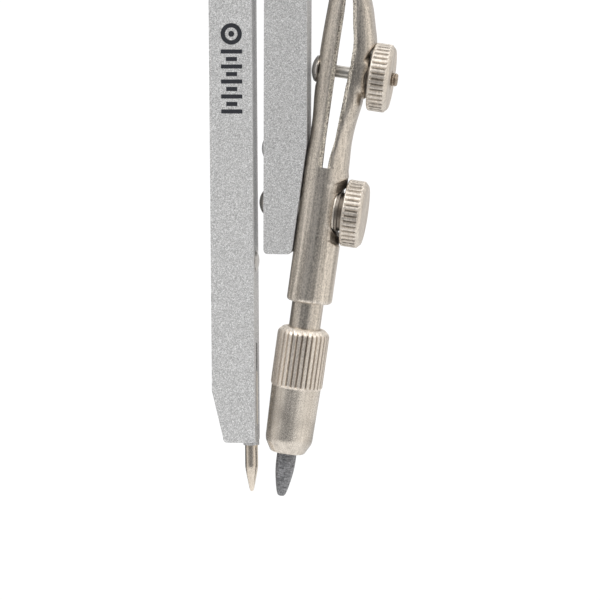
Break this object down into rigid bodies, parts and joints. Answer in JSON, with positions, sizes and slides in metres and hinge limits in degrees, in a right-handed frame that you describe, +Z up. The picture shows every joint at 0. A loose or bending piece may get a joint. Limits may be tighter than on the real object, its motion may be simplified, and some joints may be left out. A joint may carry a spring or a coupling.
{
  "type": "drafting compass",
  "caption": "Drafting compass with a geared head, painted bar legs, a steel needle and a turn-about insert that has a lead chuck at one end and a ruling pen at the other.",
  "frame": {"origin": "centre of the handle grip, on its axis", "axes": "+Z up the handle, with the legs hanging down; +X towards the lead leg; -Y is the front, with the pivot screws' slotted heads"},
  "size_m": [0.0218, 0.0085, 0.1467],
  "materials": {
    "silver_paint": "fine-grained silver metallic paint",
    "nickel": "nickel plate, softly polished",
    "dark_nickel": "bright nickel plate on small domed heads",
    "steel": "plain turned steel",
    "needle_steel": "polished ground steel",
    "graphite": "sharpened graphite lead"
  },
  "bodies": {
    "head": {"yoke": "nickel", "handle_stem": "steel", "handle_grip": "nickel", "handle_nut": "nickel", "left_pivot_screw": "nickel", "right_pivot_screw": "nickel", "pivot_nuts": "nickel", "friction_washers": "steel"},
    "needle_arm": {"needle_leg": "silver_paint", "needle_stop_rivet": "dark_nickel"},
    "needle": {"needle": "needle_steel"},
    "lead_arm": {"lead_leg": "silver_paint", "lead_leg_rivet": "silver_paint", "clamp_bolt": "dark_nickel"},
    "clamp_washer": {"clamp_washer": "nickel"},
    "clamp_nut": {"clamp_nut": "nickel"},
    "insert": {"insert_tube": "nickel", "pen_screw": "dark_nickel", "chuck_shank": "nickel"},
    "pen_blade": {"bowed_blade": "nickel", "pen_washer": "nickel"},
    "pen_nut": {"pen_nut": "nickel"},
    "collet": {"collet": "steel"},
    "chuck_cap": {"chuck_cap": "nickel"},
    "lead": {"lead": "graphite"}
  },
  "joints": [
    {"name": "lead_leg_hinge", "type": "hinge", "parent": "head", "child": "lead_arm", "pos_m": [0.0033, 0, -0.019], "axis": [0, -1, 0], "range_deg": [0, 70]},
    {"name": "needle_leg_hinge", "type": "hinge", "parent": "head", "child": "needle_arm", "pos_m": [-0.0033, 0, -0.019], "axis": [0, 1, 0], "range_deg": [0, 70]},
    {"name": "needle_pull", "type": "slide", "parent": "needle_arm", "child": "needle", "axis": [0.0047, 0, -1], "range_m": [0, 0.006]},
    {"name": "clamp_washer_travel", "type": "slide", "parent": "lead_arm", "child": "clamp_washer", "axis": [0.9901, 0, -0.1404], "range_m": [0, 0.0008]},
    {"name": "clamp_nut_spin", "type": "hinge", "parent": "clamp_washer", "child": "clamp_nut", "pos_m": [0.00654, 0, -0.10827], "axis": [0.9901, 0, -0.1404], "range_deg": [0, 720]},
    {"name": "insert_turn", "type": "hinge", "parent": "lead_arm", "child": "insert", "pos_m": [0.00654, 0, -0.10827], "axis": [0.9901, 0, -0.1404], "range_deg": [0, 180]},
    {"name": "pen_blade_flex", "type": "hinge", "parent": "insert", "child": "pen_blade", "pos_m": [0.00858, 0, -0.10386], "axis": [0, 1, 0], "range_deg": [-0.27, 2]},
    {"name": "pen_nut_spin", "type": "hinge", "parent": "pen_blade", "child": "pen_nut", "pos_m": [0.00862, 0, -0.09356], "axis": [0.9901, 0, -0.1404], "range_deg": [-50, 360]},
    {"name": "collet_travel", "type": "slide", "parent": "insert", "child": "collet", "axis": [-0.1404, 0, -0.9901], "range_m": [0, 0.0007]},
    {"name": "chuck_cap_spin", "type": "hinge", "parent": "collet", "child": "chuck_cap", "pos_m": [0.00387, 0, -0.12708], "axis": [-0.1404, 0, -0.9901], "range_deg": [0, 720]},
    {"name": "lead_slide", "type": "slide", "parent": "insert", "child": "lead", "axis": [-0.1404, 0, -0.9901], "range_m": [-0.0035, 0.008]}
  ],
  "couplings": [
    {"joint": "needle_leg_hinge", "follows": "lead_leg_hinge", "ratio": 1},
    {"joint": "clamp_nut_spin", "follows": "clamp_washer_travel", "rad_per_m": 15707},
    {"joint": "pen_nut_spin", "follows": "pen_blade_flex", "ratio": 179.5},
    {"joint": "chuck_cap_spin", "follows": "collet_travel", "rad_per_m": 17951}
  ]
}
